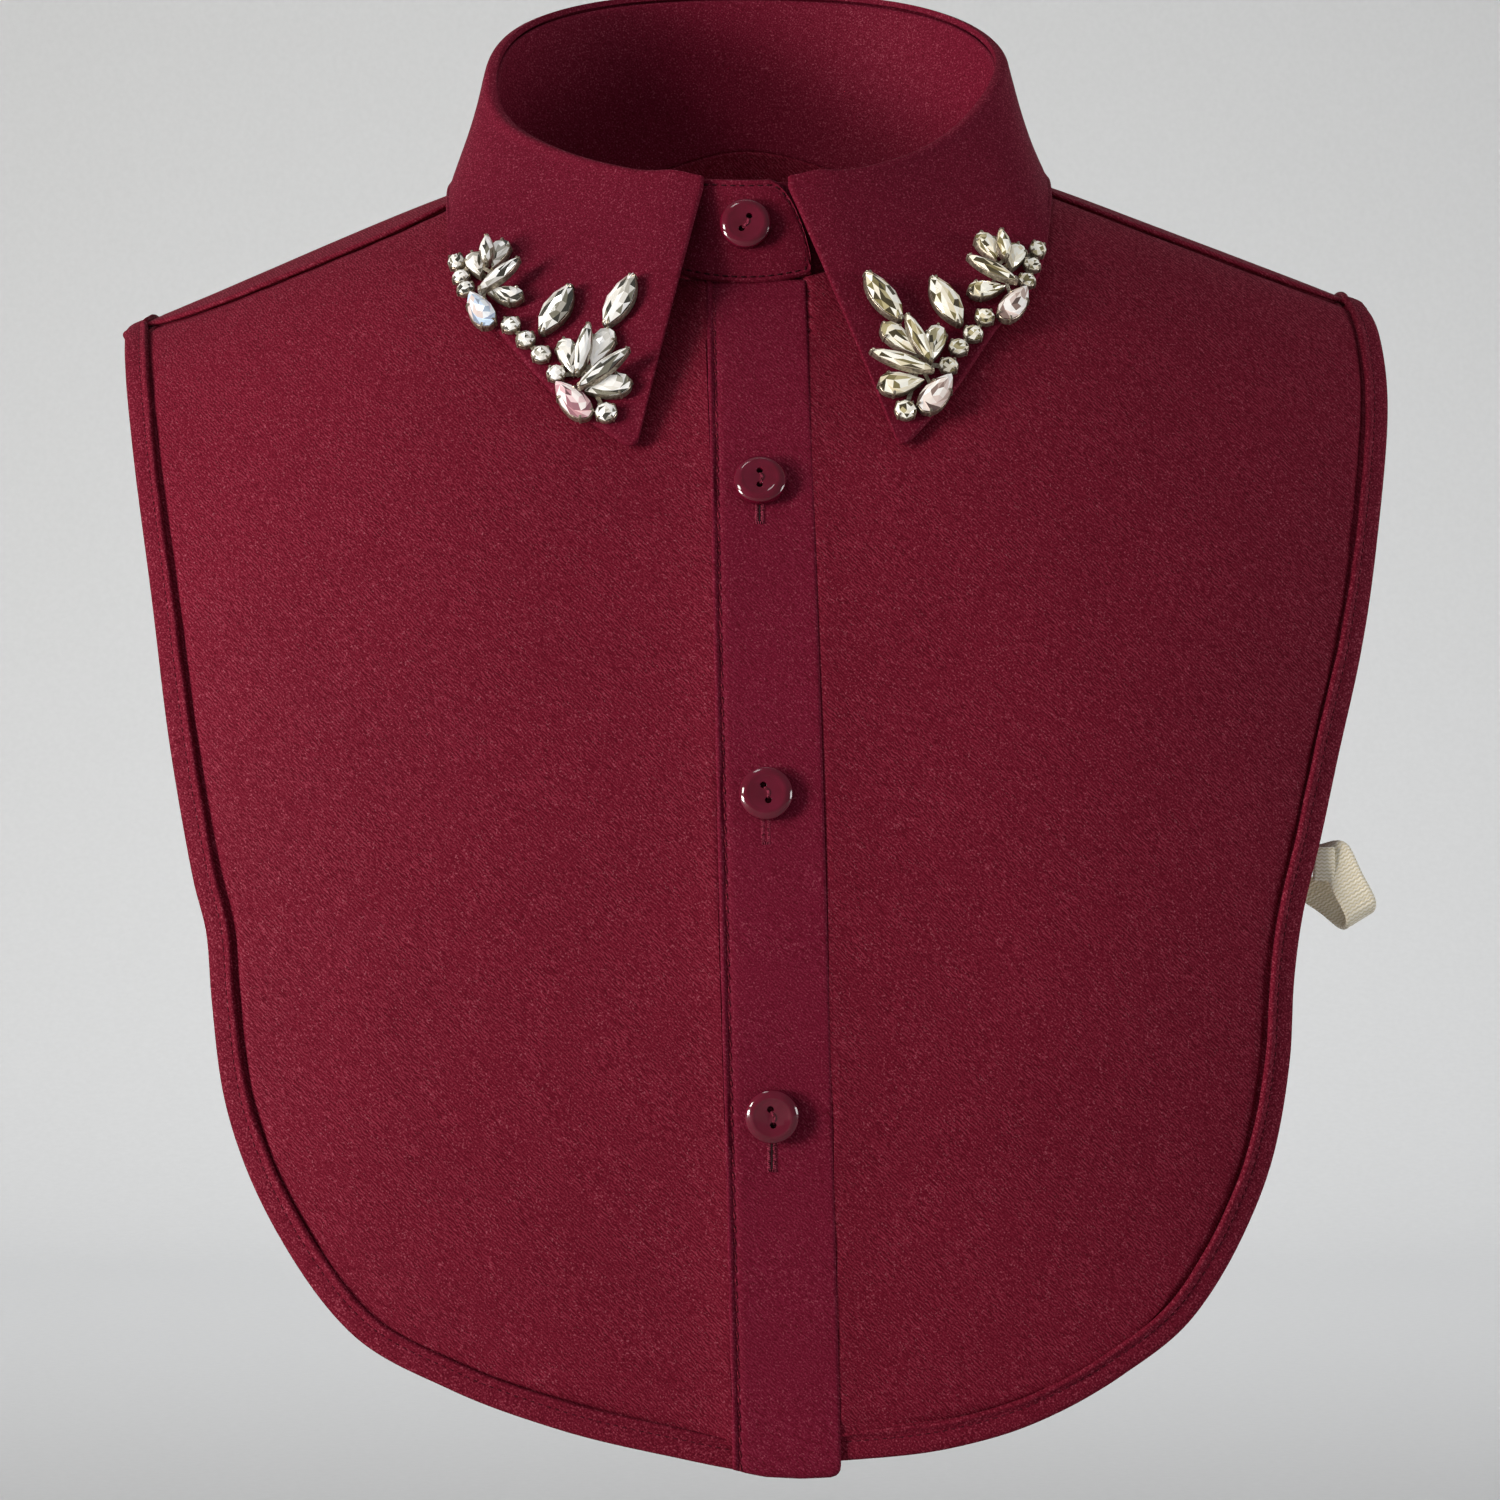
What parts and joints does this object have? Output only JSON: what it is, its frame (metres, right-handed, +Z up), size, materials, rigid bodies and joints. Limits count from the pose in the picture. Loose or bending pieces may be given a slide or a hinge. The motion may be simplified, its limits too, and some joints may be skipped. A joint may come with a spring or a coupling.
{
  "type": "detachable bib collar with crystal-set points",
  "caption": "Sleeveless false-shirt bib in crepe with a button placket, fold-over collar, crystal motifs on the collar points and elastic side straps.",
  "frame": {"origin": "middle of the neck opening, level with the foot of the collar at the sides of the neck", "axes": "+Z up along the neck, -Y out of the chest, +X to the viewer's right"},
  "size_m": [0.3017, 0.2128, 0.3523],
  "materials": {
    "crepe": "burgundy crepe with a fine diagonal twill look and a faint sheen",
    "crepe_binding": "the same crepe turned over the edge and top-stitched",
    "crepe_placket": "the same crepe, folded and top-stitched",
    "crepe_collar": "interfaced crepe, smooth and crisp",
    "button": "glossy dyed polyester with a raised rim",
    "elastic": "off-white ribbed knitted elastic",
    "crystal": "clear foiled faceted crystal glass",
    "silver": "silver-plated brass claw cups"
  },
  "bodies": {
    "root": {"front_panel_right": "crepe", "front_panel_left": "crepe", "back_panel": "crepe", "binding_right": "crepe_binding", "binding_left": "crepe_binding", "binding_back": "crepe_binding", "placket": "crepe_placket", "collar_stand": "crepe_collar", "collar_leaf": "crepe_collar", "button_1": "button", "button_2": "button", "button_3": "button", "button_4": "button", "side_strap_right": "elastic", "side_strap_left": "elastic", "strap_loop_left": "elastic", "settings_upper_right": "silver", "settings_lower_right": "silver", "chain_right": "silver", "crystal_upper_petal_1_right": "crystal", "crystal_upper_petal_2_right": "crystal", "crystal_upper_petal_3_right": "crystal", "crystal_upper_petal_4_right": "crystal", "crystal_upper_petal_5_right": "crystal", "crystal_upper_drop_right": "crystal", "crystal_lower_petal_1_right": "crystal", "crystal_lower_petal_2_right": "crystal", "crystal_lower_petal_3_right": "crystal", "crystal_lower_petal_4_right": "crystal", "crystal_lower_petal_5_right": "crystal", "crystal_lower_drop_right": "crystal", "crystal_navette_1_right": "crystal", "crystal_navette_2_right": "crystal", "settings_upper_left": "silver", "settings_lower_left": "silver", "chain_left": "silver", "crystal_upper_petal_1_left": "crystal", "crystal_upper_petal_2_left": "crystal", "crystal_upper_petal_3_left": "crystal", "crystal_upper_petal_4_left": "crystal", "crystal_upper_petal_5_left": "crystal", "crystal_upper_drop_left": "crystal", "crystal_lower_petal_1_left": "crystal", "crystal_lower_petal_2_left": "crystal", "crystal_lower_petal_3_left": "crystal", "crystal_lower_petal_4_left": "crystal", "crystal_lower_petal_5_left": "crystal", "crystal_lower_drop_left": "crystal", "crystal_navette_1_left": "crystal", "crystal_navette_2_left": "crystal"}
  },
  "joints": []
}
